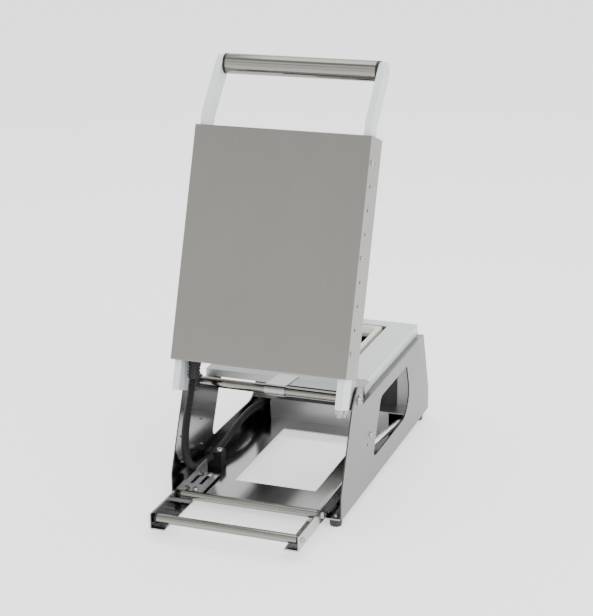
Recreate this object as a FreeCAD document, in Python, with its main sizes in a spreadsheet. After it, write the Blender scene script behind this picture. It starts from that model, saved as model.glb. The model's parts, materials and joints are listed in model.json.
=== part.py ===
import FreeCAD, Part

# A manual tabletop tray sealer: two cut-out side panels carry a raised tray deck, a hinged heating head
# stands open over it, and a cradle of two film rollers reaches out behind.
# Millimetres, +Z up, the operator stands at -Y.
# The origin is on the table under the middle of the whole machine with its head open.
# "left" and "right" are the operator's. A size ending in _in, _near or _far is measured from the panels'
# rear edge into the machine, or out from the hinge along the head.

import math
import os
import re

import Sketcher

doc = FreeCAD.newDocument("tray_sealer")
dims = doc.addObject("Spreadsheet::Sheet", "dims")

DIMENSIONS = {
    # chassis
    "width": 260, "panel_depth": 460, "sheet": 2, "foot_high": 12, "foot_radius": 10, "back_y": 173.54,
    "front_low": 36, "panel_high": 140, "front_lean": 36, "knee_in": 48, "knee_up": 148,
    "ear_radius": 18.5, "ear_angle": 139, "flange_wide": 18, "flange_in": 100,
    "cut_rear_in": 149, "cut_rear_top_in": 188, "cut_front_top_in": 328, "cut_front_in": 359,
    "cut_low": 35, "cut_high": 119.5, "cut_small_round": 9, "cut_mid_round": 16, "cut_large_round": 38,
    "window_half": 64, "window_near": 80, "window_far": 294, "foot_in": 12, "foot_side": 118,
    # control compartment
    "wall_in": 331, "wall_half": 100, "wall_high": 36.5, "upper_in": 367, "folded": 1.5,
    "shield_half": 103, "shield_high": 72, "panel_screw": 3,
    # tray deck
    "deck_half": 120, "deck_near": 154, "deck_far": 425.6, "deck_top": 156.5, "deck_bend": 2.5,
    "die_near": 205.5, "die_far": 393, "die_half": 69, "groove": 7, "tray_half": 61.5, "tray_near": 213,
    "tray_far": 385.5, "carrier_low": 140, "carrier_high": 146, "bar_half": 124.6, "bar_near": 125,
              "bar_far": 150,
    "bar_low": 145, "gasket_high": 1,
    # hinge
    "hinge_in": 78, "hinge_up": 154, "shaft_radius": 7, "running": 0.05, "open_angle": 70.8,
    "block_inner": 119.5, "block_outer": 126.5, "block_round": 16,
    "stud_rear": 76, "stud_drop": 115.4, "elbow": 55, "lever_half": 6, "stud_radius": 3,
    "bumper_in": 138.7, "bumper_up": 77.6, "bumper_radius": 5.2,
    # head, measured along the head from the hinge (far) and up from it when closed (rise)
    "cover_half": 131.65, "cover_near": 29.3, "cover_far": 367.2, "cover_rise": 78.3, "cover_deep": 53.5,
    "cover_sheet": 1.2, "hole_first": 331.2, "hole_step": 33.3, "hole_rise": 62,
    "arm_inner": 117.5, "arm_outer": 127.5, "arm_low": 43.5, "arm_high": 70.5, "arm_tail": 14,
              "tail_low": 36.5,
    "arm_knee": 388, "grip_far": 464.5, "grip_rise": 23, "arm_round": 13.5, "arm_slope": 22.5,
              "grip_radius": 15,
    "ring_wide": 4, "frame_near": 36, "frame_far": 360, "frame_rise": 50, "frame_deep": 16,
    "plate_low": 4, "plate_thick": 15, "plate_half": 69.5, "plate_near": 126.5, "plate_far": 316,
    "knife_half": 73.5, "knife_near": 122.5, "knife_far": 320, "knife_low": 5.5, "knife_thick": 1,
    "pin_half": 50, "pin_near": 150, "pin_far": 292, "pin_radius": 4,
    # film cradle
    "rack_half": 110, "rack_rear": 120, "rack_front": 83, "rack_low": 5, "rack_high": 28, "rack_foot": 22,
    "rear_roller_in": 107, "front_roller_in": 23, "roller_up": 17, "roller_radius": 6.5, "roller_half": 103,
    "rack_thick": 2, "spacer_high": 3, "foot_screw_side": 101, "foot_screw_near": 20, "foot_screw_far": 74,
    "slot_half": 2.6, "slot_near": 38, "slot_far": 76.6, "rack_hole": 4, "cap_wide": 3.5, "cap_deep": 10,
    "axle_radius": 2.5, "tube_wall": 1,
    # head fittings
    "board_thick": 4, "mat_half": 38,
    "mat_thick": 2, "collar_radius": 7, "pin_top": 59, "press_radius": 6.5, "press_bore": 4.6,
    "gland_x": 105, "gland_rise": 50, "gland_radius": 9, "gland_end": 4, "conduit_radius": 6,
    "tail_bolt_x": 122.5, "tail_bolt_low": 42, "tail_bolt_high": 65, "tail_bolt_out": 11, "bolt_radius": 3,
    # head balance
    "spring_side": 115.5, "spring_radius": 5, "eye_radius": 3.9, "eye_wire": 0.8, "eye_neck": 8.5,
              "anchor_in": 380,
    "anchor_up": 13.7, "anchor_out": 121,
    # cables
    "cable_x": 115.7, "cable_radius": 3.25, "cable_low": 14.5, "cable_high": 21.5, "clamp_in": 115,
              "clamp_out": 134,
    "clamp_near": 99, "clamp_far": 127, "clamp_round": 2.5, "cable_slack": 0.1, "clamp_high": 26,
              "block_in": 385,
    # controls, measured along and out of the sloped face
    "knob_x": -55, "knob_up": 88, "knob_radius": 19, "knob_high": 15, "stem_radius": 3, "switch_x": 55,
    "switch_up": 90, "switch_half": 9, "switch_long": 13.5, "rocker_tilt": 6, "pivot_radius": 1.2,
              "pivot_deep": 2, "lamp_up": 94, "lamp_radius": 3.2,
    # mains inlet and data plate
    "inlet_in": 429.5, "inlet_up": 22, "inlet_long": 13.5, "inlet_tall": 10, "label_near": 29.5,
              "label_far": 115.5,
    "label_low": 33, "label_high": 87,
    # smaller features
    "window_round": 1.5, "spare_in": 122.2, "spare_up": 67.8, "spare_radius": 2, "plate_hole": 1.6,
    "plate_hole_near": 36, "plate_hole_far": 109, "plate_hole_low": 40, "plate_hole_high": 80,
    "inlet_gap": 0.2, "switch_gap": 0.5, "lamp_first": 0, "lamp_second": 20, "lamp_hole": 4,
    "foot_taper": 1.5, "foot_floor": 4, "carrier_edge": 4, "carrier_reach": 15, "tray_round": 12,
    "seal_edge": 1.5, "seal_gap": 1, "bar_drop": 0.5, "bar_foot": 10, "bar_foot_in": 3, "bar_foot_edge": 1,
    "hinge_bolt": 4, "bolt_deep": 18, "washer_thick": 1.2, "washer_radius": 8, "bolt_head": 6.6,
    "bolt_head_high": 3.6, "bolt_long": 14, "end_play": 0.2, "collar_wide": 6, "shaft_collar": 10,
    "strap_left": 20, "strap_wide": 31, "strap_lap": 8, "block_front": 40, "stud_long": 9, "stud_lip": 2,
    "lip_wide": 1.6, "knee_step": 7, "tail_upper": 34, "tail_lower": 28, "grip_hole": 2.4, "side_screw": 2,
    "tail_bolt_in": 12, "bolt_across": 9, "bolt_hex": 6, "cover_bend": 2, "gland_flap": 14,
    "flap_gap": 0.5, "gland_hole": 6.2, "side_hole": 2.4, "side_head": 4.2, "side_head_high": 2.6,
    "side_long": 9, "mat_edge": 8, "gland_nut": 7, "rib_deep": 1.2, "nut_thick": 3, "nut_across": 15,
    "rib_gap": 2, "rib_wide": 2.5, "gland_bore": 3.5, "gland_bottom": 20, "clamp_screw_in": 6.5,
    "terminal_near": 98, "terminal_wide": 24, "terminal_deep": 16, "terminal_high": 28, "screw_head": 5,
    "screw_head_high": 2.8, "screw_long": 9, "anchor_long": 10, "anchor_wide": 16, "anchor_pin": 2.9,
    "screw_hole": 2.6, "rack_hole_out": 6, "spacer_radius": 7, "axle_head_high": 2.4, "axle_long": 15,
    "stem_in": 4, "stem_out": 9, "thermo_half": 15, "thermo_deep": 34, "knob_taper": 2.5, "grip_half": 3,
    "bezel_wide": 2.5, "bezel_long": 3, "switch_deep": 26, "rocker_half": 6.5, "rocker_long": 10.5,
    "rocker_gap": 1, "well_deep": 8, "pivot_long": 8.5, "rocker_high": 7.5, "rocker_dish": 5,
    "dish_radius": 6, "lamp_rim": 5.5, "lamp_high": 2.5, "lamp_deep": 12, "label_thick": 0.8,
    "plate_screw": 1.5, "plate_long": 5,
    "overrun": 1, "grip_screw_in": 13, "grip_bore": 1.6, "grip_sunk": 4, "grip_head_high": 2,
    "grip_head": 2.35, "grip_socket": 2.5, "grip_screw": 1.5, "inlet_deep": 26, "inlet_edge": 3,
    "inlet_face": 2, "inlet_well": 16, "inlet_wall": 2, "blade_apart": 7, "blade_drop": 2, "blade_lift": 3,
    "blade_half": 1, "blade_tall": 2, "blade_long": 14, "anchor_above": 3, "rack_bend": 3,
    "thermo_gap": 0.3, "pivot_slack": 0.1, "strap_share": 0.6,
}

for row, (word, size) in enumerate(DIMENSIONS.items(), start=1):
    dims.set(f"A{row}", word)
    dims.set(f"B{row}", str(size))
    dims.setAlias(f"B{row}", word)
doc.recompute()

WORDS = re.compile(r"\b(" + "|".join(sorted(DIMENSIONS, key=len, reverse=True)) + r")\b")
HINGE = "0; back_y - hinge_in; foot_high + hinge_up"
parts = []


def linked(text):
    """An expression with each dimension's name pointed at its cell."""
    return WORDS.sub(r"dims.\1", str(text))


def number(text):
    """What an expression comes to now."""
    return float(dims.evalExpression(linked(text)))


def bind(item, **sizes):
    """Binds properties of an object to expressions."""
    for name, text in sizes.items():
        item.setExpression(name.replace("__", "."), linked(text))
    return item


def place(item, offset="0; 0; 0", axis="0; 0; 1", angle="0"):
    """Binds an object's placement to an offset and a turn about an axis."""
    item.setExpression("Placement", linked(
        f"create(<<placement>>; create(<<vector>>; {offset}); "
        f"create(<<rotation>>; create(<<vector>>; {axis}); {angle}))"))
    return item


def on_head(item):
    """Puts an object drawn about the hinge, with the head closed, where it stands with the head open."""
    return place(item, HINGE, "1; 0; 0", "-open_angle")


def keep(item, name):
    """Marks an object as one of the sub-parts to be written."""
    item.Label = name
    parts.append(item)
    return item


# ---- building blocks -------------------------------------------------------------------------------------

def box(x, y, z, length, width, height):
    """A box from its lowest corner."""
    item = doc.addObject("Part::Box", "box")
    bind(item, Length=length, Width=width, Height=height)
    return place(item, f"{x}; {y}; {z}")


TURNS = {"X": ("0; 1; 0", "90"), "Y": ("1; 0; 0", "-90"), "Z": ("0; 0; 1", "0")}


def rod(x, y, z, radius, length, along="Z"):
    """A cylinder that starts at a point and runs along a positive axis."""
    item = doc.addObject("Part::Cylinder", "rod")
    bind(item, Radius=radius, Height=length)
    return place(item, f"{x}; {y}; {z}", *TURNS[along])


def cone(x, y, z, low, high, length, along="Z"):
    """A tapered rod with one radius at its start and another at its end."""
    item = doc.addObject("Part::Cone", "cone")
    bind(item, Radius1=low, Radius2=high, Height=length)
    return place(item, f"{x}; {y}; {z}", *TURNS[along])


def hexagon(x, y, z, across, length, along="Z"):
    """A hexagonal prism, by its size across the flats."""
    item = doc.addObject("Part::Prism", "hexagon")
    item.Polygon = 6
    bind(item, Circumradius=f"({across}) / sqrt(3)", Height=length)
    return place(item, f"{x}; {y}; {z}", *TURNS[along])


def cut(base, *tools):
    """The base less every tool."""
    item = doc.addObject("Part::Cut", "cut")
    item.Base = base
    item.Tool = tools[0] if len(tools) == 1 else group(*tools)
    return item


def fuse(*pieces):
    """Pieces that touch or overlap, joined into one solid."""
    item = doc.addObject("Part::MultiFuse", "fuse")
    item.Shapes = list(pieces)
    item.Refine = True
    return item


def group(*pieces):
    """Pieces that stay separate solids."""
    item = doc.addObject("Part::Compound", "group")
    item.Links = list(pieces)
    return item


HEAD_TAPER, SOCKET_SIZE, SOCKET_DEPTH = 0.72, 0.85, 0.55


def screw(x, y, z, along, outward, head_radius, head_high, shank_radius, shank_length):
    """A screw whose head sits on a surface; outward is +1 when the head lies on the positive side."""
    index = "XYZ".index(along)
    spots = {"head": [x, y, z], "shank": [x, y, z], "drive": [x, y, z]}
    point = spots["head"][index]
    recess = f"({head_high}) * {SOCKET_DEPTH}"
    if outward > 0:
        spots["shank"][index] = f"{point} - ({shank_length})"
        spots["drive"][index] = f"{point} + ({head_high}) - {recess}"
        low, high = head_radius, f"({head_radius}) * {HEAD_TAPER}"
    else:
        spots["head"][index] = f"{point} - ({head_high})"
        spots["drive"][index] = f"{point} - ({head_high})"
        low, high = f"({head_radius}) * {HEAD_TAPER}", head_radius
    head = cone(*spots["head"], low, high, head_high, along)
    socket = hexagon(*spots["drive"], f"({head_radius}) * {SOCKET_SIZE}", recess, along)
    return fuse(cut(head, socket), rod(*spots["shank"], shank_radius, shank_length, along))


def new_body(name):
    """An empty PartDesign body."""
    body = doc.addObject("PartDesign::Body", name)
    return keep(body, name)


def sketch_on(body, role, offset="0"):
    """A sketch on one of the body's own origin planes, moved along the plane's normal."""
    sketch = body.newObject("Sketcher::SketchObject", "outline")
    plane = next(o for o in body.Origin.OriginFeatures if o.Role == role)
    sketch.AttachmentSupport = [(plane, "")]
    sketch.MapMode = "FlatFace"
    return bind(sketch, AttachmentOffset__Base__z=offset)


def polygon(sketch, corners):
    """Adds a closed outline whose corners are held by expressions."""
    first = sketch.GeometryCount
    places = [(number(a), number(b)) for a, b in corners]
    count = len(corners)
    for i, start in enumerate(places):
        end = places[(i + 1) % count]
        sketch.addGeometry(Part.LineSegment(FreeCAD.Vector(*start, 0), FreeCAD.Vector(*end, 0)), False)
    for i in range(count):
        sketch.addConstraint(Sketcher.Constraint("Coincident", first + i, 2, first + (i + 1) % count, 1))
    for i, corner in enumerate(corners):
        for kind, text, now in zip(("DistanceX", "DistanceY"), corner, places[i]):
            held = sketch.addConstraint(Sketcher.Constraint(kind, -1, 1, first + i, 1, now))
            sketch.setExpression(f"Constraints[{held}]", linked(text))
    return sketch


def oblong(sketch, low_a, low_b, high_a, high_b):
    """Adds a rectangle between two corners."""
    return polygon(sketch, [(low_a, low_b), (high_a, low_b), (high_a, high_b), (low_a, high_b)])


def circle(sketch, a, b, radius):
    """Adds a circle held by expressions."""
    centre = FreeCAD.Vector(number(a), number(b), 0)
    index = sketch.addGeometry(Part.Circle(centre, FreeCAD.Vector(0, 0, 1), number(radius)), False)
    for kind, text in (("DistanceX", a), ("DistanceY", b)):
        held = sketch.addConstraint(Sketcher.Constraint(kind, -1, 1, index, 3, number(text)))
        sketch.setExpression(f"Constraints[{held}]", linked(text))
    held = sketch.addConstraint(Sketcher.Constraint("Radius", index, number(radius)))
    sketch.setExpression(f"Constraints[{held}]", linked(radius))
    return sketch


def pad(body, sketch, length):
    """Adds material from the sketch along its plane's normal."""
    feature = body.newObject("PartDesign::Pad", "pad")
    feature.Profile = sketch
    return bind(feature, Length=length)


def pocket(body, sketch, length):
    """Removes material from the sketch along its plane's normal, and checks that something went."""
    doc.recompute()
    before = body.Shape.Volume
    feature = body.newObject("PartDesign::Pocket", "pocket")
    feature.Profile = sketch
    feature.Reversed = True
    bind(feature, Length=length)
    doc.recompute()
    if body.Shape.Volume >= before - 0.01:
        raise RuntimeError(f"a pocket in {body.Label} removed nothing")
    return feature


def rounded(body, corners, radius, across="X"):
    """Rounds the edges of the body's tip that run along an axis through the given places."""
    doc.recompute()
    tip = body.Tip
    others = [i for i in range(3) if i != "XYZ".index(across)]
    spots = [tuple(number(text) for text in corner) for corner in corners]
    names = []
    for index, edge in enumerate(tip.Shape.Edges, start=1):
        ends = [tuple(v.Point) for v in edge.Vertexes]
        if len(ends) == 2 and all(
            any(max(abs(end[others[k]] - spot[k]) for k in (0, 1)) < 0.02 for spot in spots) for end in ends
        ) and abs(ends[0]["XYZ".index(across)] - ends[1]["XYZ".index(across)]) > 0.5:
            names.append(f"Edge{index}")
    if len(names) < len(spots):
        raise RuntimeError(f"{body.Label}: {len(names)} edges found for {len(spots)} corners")
    feature = body.newObject("PartDesign::Fillet", "fillet")
    feature.Base = (tip, names)
    return bind(feature, Radius=radius)


def inside(depth):
    """The Y of a place so far in from the panels' rear edge."""
    return f"back_y - ({depth})"


def above(height):
    """The Z of a place so far above the chassis floor's underside."""
    return f"foot_high + ({height})"


SIDES = {"left": -1, "right": 1}
chassis_screws = []


def chassis_screw(x, y, z, along="Z", outward=1):
    """One of the like screws that hold the feet, the film rack, the cable clamp and the lever's rubber stop."""
    chassis_screws.append(screw(x, y, z, along, outward, "screw_head", "screw_head_high", "axle_radius",
                                "screw_long"))


# ---- chassis ---------------------------------------------------------------------------------------------

def base_plate():
    """The floor of the machine, with a large window under the tray and a hole for each foot's screw."""
    body = new_body("base_plate")
    outline = sketch_on(body, "XY_Plane", "foot_high")
    half = "width / 2 - sheet"
    oblong(outline, f"-({half})", inside("panel_depth - folded"), half, "back_y")
    pad(body, outline, "sheet")
    window = sketch_on(body, "XY_Plane", "foot_high")
    oblong(window, "-window_half", inside("window_far"), "window_half", inside("window_near"))
    for side in SIDES.values():
        for depth in ("foot_in", "panel_depth - 2 * foot_in"):
            circle(window, f"{side} * foot_side", inside(depth), "screw_hole")
        for depth in ("foot_screw_near", "foot_screw_far"):
            circle(window, f"{side} * foot_screw_side", inside(depth), "screw_hole")
    pocket(body, window, "sheet")
    rounded(body, [(x, inside(depth)) for x in ("-window_half", "window_half")
                   for depth in ("window_near", "window_far")], "window_round", "Z")


def side_panel(name, side):
    """A folded panel: a sloped front, a slanted rear edge that rises to the hinge ear, and a large cut-out."""
    body = new_body(f"side_panel_{name}")
    start = "width / 2 - sheet" if side > 0 else "-width / 2"
    outline = sketch_on(body, "YZ_Plane", start)
    polygon(outline, [
        (inside("0"), above("0")), (inside("panel_depth"), above("0")),
        (inside("panel_depth"), above("front_low")),
                      (inside("panel_depth - front_lean"), above("panel_high")),
        (inside("hinge_in + ear_radius"), above("panel_high")),
                      (inside("hinge_in + ear_radius"), above("hinge_up")),
        (inside("hinge_in"), above("hinge_up")),
        (inside("hinge_in + ear_radius * cos(ear_angle)"), above("hinge_up + ear_radius * sin(ear_angle)")),
        (inside("knee_in"), above("knee_up")), (inside("0"), above("front_low")),
    ])
    pad(body, outline, "sheet")
    ear = sketch_on(body, "YZ_Plane", start)
    circle(ear, inside("hinge_in"), above("hinge_up"), "ear_radius")
    pad(body, ear, "sheet")
    flange = sketch_on(body, "XY_Plane", above("panel_high - sheet"))
    inner, outer = "width / 2 - flange_wide", "width / 2 - sheet"
    low, high = (inner, outer) if side > 0 else (f"-({outer})", f"-({inner})")
    oblong(flange, low, inside("panel_depth - front_lean - flange_wide"), high, inside("flange_in"))
    pad(body, flange, "sheet")
    cutout = sketch_on(body, "YZ_Plane", start)
    corners = {
        "cut_mid_round": [(inside("cut_rear_top_in"), above("cut_high"))],
        "cut_small_round": [(inside("cut_rear_in"), above("cut_low")),
                            (inside("cut_front_top_in"), above("cut_high"))],
        "cut_large_round": [(inside("cut_front_in"), above("cut_low"))],
    }
    polygon(cutout, [corners["cut_mid_round"][0], corners["cut_small_round"][1],
                     corners["cut_large_round"][0], corners["cut_small_round"][0]])
    circle(cutout, inside("hinge_in"), above("hinge_up"), "hinge_bolt")
    if name == "left":
        circle(cutout, inside("bumper_in"), above("bumper_up"), "panel_screw")
        circle(cutout, inside("spare_in"), above("spare_up"), "spare_radius")
    else:
        oblong(cutout, inside("inlet_in + inlet_long + inlet_gap"),
               above("inlet_up - inlet_tall - inlet_gap"),
               inside("inlet_in - inlet_long - inlet_gap"), above("inlet_up + inlet_tall + inlet_gap"))
        for depth, height in PLATE_SCREWS:
            circle(cutout, inside(depth), above(height), "plate_hole")
    pocket(body, cutout, "sheet")
    for radius, places in corners.items():
        rounded(body, places, radius)


PLATE_SCREWS = [(depth, height) for depth in ("plate_hole_near", "plate_hole_far")
                for height in ("plate_hole_low", "plate_hole_high")]


def compartment():
    """The folded wall in front of the window, its shelf and upper wall, and the shield over the electrics."""
    body = new_body("compartment_wall")
    low = sketch_on(body, "YZ_Plane", "-wall_half")
    polygon(low, [
        (inside("wall_in"), above("sheet")), (inside("wall_in + folded"), above("sheet")),
        (inside("wall_in + folded"), above("wall_high - folded")),
        (inside("upper_in + folded"), above("wall_high - folded")),
        (inside("upper_in + folded"), above("wall_high")), (inside("wall_in"), above("wall_high")),
    ])
    pad(body, low, "2 * wall_half")
    high = sketch_on(body, "YZ_Plane", "-(width / 2 - sheet)")
    polygon(high, [
        (inside("wall_in"), above("wall_high - folded")),
                   (inside("upper_in + folded"), above("wall_high - folded")),
        (inside("upper_in + folded"), above("panel_high - 2 * sheet")),
        (inside("upper_in"), above("panel_high - 2 * sheet")),
        (inside("upper_in"), above("wall_high")), (inside("wall_in"), above("wall_high")),
    ])
    pad(body, high, "width - 2 * sheet")
    shield = box("-shield_half", inside("upper_in"), above("wall_high"), "2 * shield_half", "sheet",
                 "shield_high")
    keep(group(shield), "heat_shield")


def front_panel():
    """The operator's panel: an upright lip, the sloped face with holes for the controls, and a top return."""
    body = new_body("front_panel")
    outline = sketch_on(body, "YZ_Plane", "-(width / 2 - sheet)")
    lean = "front_lean * folded / (panel_high - front_low)"
    polygon(outline, [
        (inside("panel_depth"), above("0")), (inside("panel_depth"), above("front_low")),
        (inside("panel_depth - front_lean"), above("panel_high")),
        (inside("panel_depth - front_lean - flange_wide"), above("panel_high")),
        (inside("panel_depth - front_lean - flange_wide"), above("panel_high - folded")),
        (inside("panel_depth - front_lean - folded"), above("panel_high - folded")),
        (inside("panel_depth - folded"), above(f"front_low - ({lean})")),
        (inside("panel_depth - folded"), above("0")),
    ])
    pad(body, outline, "width - 2 * sheet")
    holes = sketch_on(body, "XZ_Plane", "-(" + inside("panel_depth - front_lean / 2") + ")")
    circle(holes, "knob_x", above("knob_up"), "2 * stem_radius")
    oblong(holes, "switch_x - switch_half - switch_gap", above("switch_up - switch_long - switch_gap"),
           "switch_x + switch_half + switch_gap", above("switch_up + switch_long + switch_gap"))
    for x in ("lamp_first", "lamp_second"):
        circle(holes, x, above("lamp_up"), "lamp_hole")
    doc.recompute()
    feature = body.newObject("PartDesign::Pocket", "openings")
    feature.Profile = holes
    feature.Midplane = True
    bind(feature, Length="2 * front_lean")


def feet():
    """Four rubber feet and the screws that hold them."""
    rubber = []
    for side in SIDES.values():
        for depth in ("foot_in", "panel_depth - 2 * foot_in"):
            x, y = f"{side} * foot_side", inside(depth)
            shape = cone(x, y, "0", "foot_radius - foot_taper", "foot_radius", "foot_high")
            rubber.append(cut(shape, rod(x, y, "foot_floor", "axle_radius", "foot_high")))
            chassis_screw(x, y, above("sheet"))
    keep(group(*rubber), "rubber_feet")


# ---- tray deck -------------------------------------------------------------------------------------------

def deck():
    """The white deck: a shallow folded lid with a square opening for the tray die."""
    body = new_body("tray_deck")
    block = sketch_on(body, "XY_Plane", above("panel_high"))
    oblong(block, "-deck_half", inside("deck_far"), "deck_half", inside("deck_near"))
    pad(body, block, "deck_top - panel_high")
    doc.recompute()
    tip, top = body.Tip, number(above("deck_top"))
    names = [f"Edge{i}" for i, edge in enumerate(tip.Shape.Edges, start=1)
             if all(abs(v.Point.z - top) < 0.01 for v in edge.Vertexes)
             or abs(edge.Vertexes[0].Point.z - edge.Vertexes[1].Point.z) > 1]
    bends = body.newObject("PartDesign::Fillet", "bends")
    bends.Base = (tip, names)
    bind(bends, Radius="deck_bend")
    doc.recompute()
    underside = min(range(len(bends.Shape.Faces)), key=lambda i: bends.Shape.Faces[i].CenterOfMass.z)
    shell = body.newObject("PartDesign::Thickness", "shell")
    shell.Base = (bends, [f"Face{underside + 1}"])
    shell.Reversed = True
    bind(shell, Value="folded")
    opening = sketch_on(body, "XY_Plane", above("deck_top"))
    oblong(opening, "-(die_half + groove)", inside("die_far + groove"), "die_half + groove",
           inside("die_near - groove"))
    feature = body.newObject("PartDesign::Pocket", "opening")
    feature.Profile = opening
    bind(feature, Length="2 * folded")


def tray_die():
    """The lift-out die that holds one tray by its flange, the carrier under it and the rubber seal on it."""
    die = new_body("tray_die")
    ring = sketch_on(die, "XY_Plane", above("carrier_high"))
    oblong(ring, "-die_half", inside("die_far"), "die_half", inside("die_near"))
    pad(die, ring, "deck_top - carrier_high")
    hole = sketch_on(die, "XY_Plane", above("carrier_high"))
    oblong(hole, "-tray_half", inside("tray_far"), "tray_half", inside("tray_near"))
    pocket(die, hole, "deck_top - carrier_high")
    rounded(die,
            [(x, inside(depth)) for x in ("-tray_half", "tray_half") for depth in ("tray_near",
                                                                                   "tray_far")],
            "tray_round", "Z")
    carrier = new_body("die_carrier")
    plate = sketch_on(carrier, "XY_Plane", above("carrier_low"))
    oblong(plate, "-(deck_half - carrier_edge)", inside("die_far + carrier_reach"),
           "deck_half - carrier_edge", inside("die_near - carrier_reach"))
    pad(carrier, plate, "carrier_high - carrier_low")
    hole = sketch_on(carrier, "XY_Plane", above("carrier_low"))
    oblong(hole, "-tray_half", inside("tray_far"), "tray_half", inside("tray_near"))
    pocket(carrier, hole, "carrier_high - carrier_low")
    rounded(carrier, [(x, inside(depth)) for x in ("-tray_half", "tray_half")
                      for depth in ("tray_near", "tray_far")], "tray_round", "Z")
    seal = new_body("die_seal")
    band = sketch_on(seal, "XY_Plane", above("deck_top"))
    oblong(band, "-(die_half - seal_edge)", inside("die_far - seal_edge"), "die_half - seal_edge",
           inside("die_near + seal_edge"))
    pad(seal, band, "gasket_high")
    hole = sketch_on(seal, "XY_Plane", above("deck_top"))
    oblong(hole, "-(tray_half + seal_gap)", inside("tray_far + seal_gap"), "tray_half + seal_gap",
           inside("tray_near - seal_gap"))
    pocket(seal, hole, "gasket_high")
    rounded(seal, [(x, inside(depth)) for x in ("-(tray_half + seal_gap)", "tray_half + seal_gap")
                   for depth in ("tray_near - seal_gap", "tray_far + seal_gap")], "tray_round", "Z")


def rear_bar():
    """The aluminium bar across the rear of the deck, with a foot over each panel's flange."""
    bar = box("-bar_half", inside("bar_far"), above("bar_low"), "2 * bar_half", "bar_far - bar_near",
              "deck_top - bar_low - bar_drop")
    blocks = [box(x, inside("bar_far - bar_foot_in"), above("panel_high"), "bar_foot",
                  "bar_far - bar_near - 2 * bar_foot_in",
                  "bar_low - panel_high") for x in ("-(bar_half - bar_foot_edge)",
                                                    "bar_half - bar_foot_edge - bar_foot")]
    keep(fuse(bar, *blocks), "deck_rear_bar")


# ---- hinge -----------------------------------------------------------------------------------------------

def hinge():
    """The fixed shaft between the ears, its end bolts, its spacers and the strap that steadies its middle."""
    y, z = inside("hinge_in"), above("hinge_up")
    shaft = rod("-(width / 2 - sheet)", y, z, "shaft_radius", "width - 2 * sheet", "X")
    keep(cut(shaft,
             *[rod(x, y, z, "hinge_bolt", "bolt_deep", "X") for x in ("-width / 2",
                                                                      "width / 2 - bolt_deep")]),
         "hinge_shaft")
    bolts, spacers = [], []
    for side in SIDES.values():
        face = f"{side} * (width / 2 + washer_thick)"
        start = "width / 2" if side > 0 else "-(width / 2 + washer_thick)"
        bolts.append(fuse(screw(face, y, z, "X", side, "bolt_head", "bolt_head_high", "hinge_bolt",
                                "bolt_long"),
                          rod(start, y, z, "washer_radius", "washer_thick", "X")))
        for low, high in (("block_outer + end_play", "width / 2 - sheet - end_play / 2"),
                          ("block_inner - collar_wide", "block_inner - end_play")):
            start = low if side > 0 else f"-({high})"
            wide = f"({high}) - ({low})"
            spacers.append(cut(rod(start, y, z, "shaft_collar", wide, "X"),
                               rod(start, y, z, "shaft_radius", wide, "X")))
    keep(group(*bolts), "hinge_bolts")
    keep(group(*spacers), "shaft_spacers")
    strap = new_body("shaft_strap")
    side_view = sketch_on(strap, "YZ_Plane", "-strap_left")
    thick = "shaft_radius + folded"
    polygon(side_view, [(y, f"{z} + shaft_radius"), (y, f"{z} + {thick}"),
                        (inside("bar_near + strap_lap"), above("deck_top + folded - bar_drop")),
                        (inside("bar_near + strap_lap"), above("deck_top - bar_drop")),
                        (inside("bar_near"), above("deck_top - bar_drop")),
                        (inside("hinge_in + shaft_radius"), f"{z} + shaft_radius * strap_share")])
    pad(strap, side_view, "strap_wide")
    ring = sketch_on(strap, "YZ_Plane", "-strap_left")
    circle(ring, y, z, thick)
    pad(strap, ring, "strap_wide")
    bore = sketch_on(strap, "YZ_Plane", "-strap_left")
    circle(bore, y, z, "shaft_radius")
    pocket(strap, bore, "strap_wide")


def head_blocks():
    """The block under each arm that turns on the shaft. The left one runs on into the spring lever."""
    bore = "shaft_radius + running"
    for name, side in SIDES.items():
        body = new_body("hinge_lever_left" if name == "left" else "hinge_block_right")
        start = "block_inner" if side > 0 else "-block_outer"
        outline = sketch_on(body, "YZ_Plane", start)
        polygon(outline,
                [("arm_tail", "tail_low"), ("-block_front", "tail_low"), ("-block_round", "0"),
                 ("block_round", "0")])
        pad(body, outline, "block_outer - block_inner")
        eye = sketch_on(body, "YZ_Plane", start)
        circle(eye, "0", "0", "block_round")
        pad(body, eye, "block_outer - block_inner")
        if name == "left":
            for low, high in ((("0", "0"), ("elbow", "-elbow")),
                              (("elbow", "-elbow"), ("stud_rear", "-stud_drop"))):
                link = sketch_on(body, "YZ_Plane", start)
                polygon(link, strip(low, high, "lever_half"))
                pad(body, link, "block_outer - block_inner")
            for spot in (("elbow", "-elbow"), ("stud_rear", "-stud_drop")):
                end = sketch_on(body, "YZ_Plane", start)
                circle(end, *spot, "lever_half")
                pad(body, end, "block_outer - block_inner")
        hole = sketch_on(body, "YZ_Plane", start)
        circle(hole, "0", "0", bore)
        pocket(body, hole, "block_outer - block_inner")
        if name == "left":
            for radius, start, far in (("stud_radius", "-block_inner", "stud_long"),
                                       ("stud_radius + stud_lip", "-(block_inner - stud_long + lip_wide)",
                                        "lip_wide")):
                stud = sketch_on(body, "YZ_Plane", start)
                circle(stud, "stud_rear", "-stud_drop", radius)
                pad(body, stud, far)
        on_head(body)


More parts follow.
